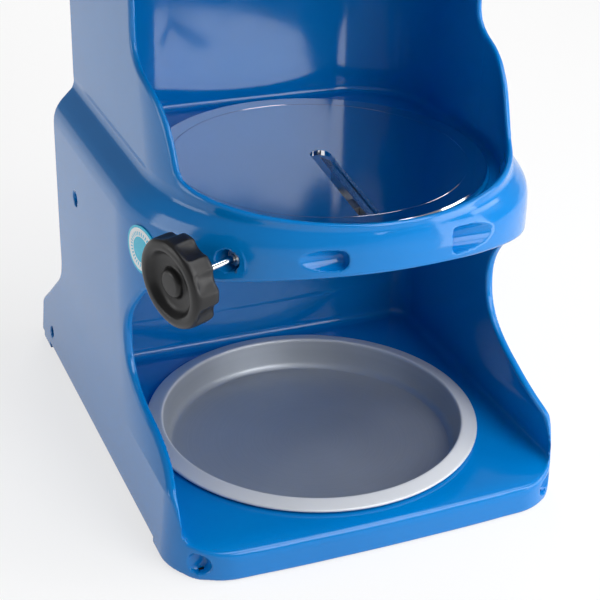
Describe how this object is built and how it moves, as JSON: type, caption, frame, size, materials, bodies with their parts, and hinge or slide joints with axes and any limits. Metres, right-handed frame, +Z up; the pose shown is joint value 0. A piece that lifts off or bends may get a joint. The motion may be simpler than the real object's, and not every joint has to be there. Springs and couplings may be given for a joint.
{
  "type": "ice shaver with crank",
  "caption": "Hand-cranked ice shaver: a painted cast frame holds a blade disc over a bowl bay, and a crank turns a spiked gripper plate that is fed down on the ice.",
  "frame": {"origin": "on the floor, under the axis of the screw spindle", "axes": "+Z up, front opening towards -Y, crank on the +X side"},
  "size_m": [0.362, 0.333, 0.59],
  "materials": {
    "blue_paint": "high gloss enamel",
    "black_rubber": "matt",
    "zinc_steel": "plated",
    "tray_grey": "satin anodised",
    "badge_vinyl": "printed film",
    "polished_steel": "mirror polished",
    "blade_steel": "ground",
    "carrier_steel": "bright zinc",
    "bronze": "turned",
    "knob_black": "satin moulded",
    "gear_iron": "machined",
    "chrome_plate": "bright",
    "felt": "pressed felt",
    "wheel_black": "black enamel",
    "grip_black": "moulded"
  },
  "bodies": {
    "frame": {"casting_base": "blue_paint", "casting_bay": "blue_paint", "casting_ring": "blue_paint", "casting_chamber": "blue_paint", "casting_head": "blue_paint", "rubber_feet": "black_rubber", "foot_screws": "zinc_steel", "badge": "badge_vinyl", "blade_disc": "polished_steel", "disc_screws": "zinc_steel", "guide_yokes": "carrier_steel", "yoke_screws": "zinc_steel", "guide_pins": "carrier_steel", "stem_bush": "bronze", "lower_bush": "bronze", "head_cover": "blue_paint", "cover_screws": "zinc_steel", "upper_bush": "bronze", "felt_washer": "felt", "inner_bush": "bronze", "outer_bush": "bronze"},
    "tray": {"drip_tray": "tray_grey"},
    "blade_slide": {"blade_carriage": "carrier_steel", "ice_blade": "blade_steel", "blade_clamp": "carrier_steel", "clamp_screws": "zinc_steel"},
    "adjuster": {"adjuster_stem": "chrome_plate", "stem_collars": "zinc_steel", "adjuster_knob": "knob_black"},
    "drive": {"drive_gear": "gear_iron", "gear_key": "carrier_steel"},
    "gripper": {"spindle": "chrome_plate", "gripper_plate": "chrome_plate", "gripper_washer": "zinc_steel", "gripper_bolt": "zinc_steel"},
    "feed": {"feed_nut": "bronze", "nut_clip": "carrier_steel", "feed_wheel": "wheel_black", "wheel_screw": "zinc_steel"},
    "crank": {"crank_shaft": "carrier_steel", "bevel_pinion": "gear_iron", "pinion_pin": "carrier_steel", "shaft_collar": "carrier_steel", "crank_arm": "chrome_plate", "arm_washer": "zinc_steel", "arm_bolt": "zinc_steel", "grip_pin": "chrome_plate", "grip_nut": "zinc_steel"},
    "grip": {"crank_grip": "grip_black"}
  },
  "joints": [
    {"name": "tray_lift", "type": "slide", "parent": "frame", "child": "tray", "axis": [0, 0, 1], "range_m": [0, 0.04]},
    {"name": "blade_feed", "type": "slide", "parent": "frame", "child": "blade_slide", "axis": [0.9487, 0.3083, 0.0698], "range_m": [-0.003, 0]},
    {"name": "adjust_turn", "type": "hinge", "parent": "frame", "child": "adjuster", "pos_m": [-0.088, -0.0825, 0.1865], "axis": [0.9487, 0.3083, 0.0698], "range_deg": [0, 1352]},
    {"name": "drive_spin", "type": "hinge", "parent": "frame", "child": "drive", "pos_m": [0, 0, 0.385], "axis": [0, 0, 1], "continuous": true},
    {"name": "crank_turn", "type": "hinge", "parent": "frame", "child": "crank", "pos_m": [0.09, 0, 0.412], "axis": [1, 0, 0], "continuous": true},
    {"name": "grip_spin", "type": "hinge", "parent": "crank", "child": "grip", "pos_m": [0.17, 0, 0.512], "axis": [1, 0, 0], "continuous": true},
    {"name": "feed_turn", "type": "hinge", "parent": "drive", "child": "feed", "pos_m": [0, 0, 0.45], "axis": [0, 0, 1], "range_deg": [0, 8640]},
    {"name": "spindle_feed", "type": "slide", "parent": "drive", "child": "gripper", "axis": [0, 0, 1], "range_m": [-0.1215, 0]}
  ],
  "couplings": [
    {"joint": "adjust_turn", "follows": "blade_feed", "rad_per_m": -7854},
    {"joint": "crank_turn", "follows": "drive_spin", "ratio": 2},
    {"joint": "spindle_feed", "follows": "feed_turn", "m_per_rad": -0.000795}
  ]
}
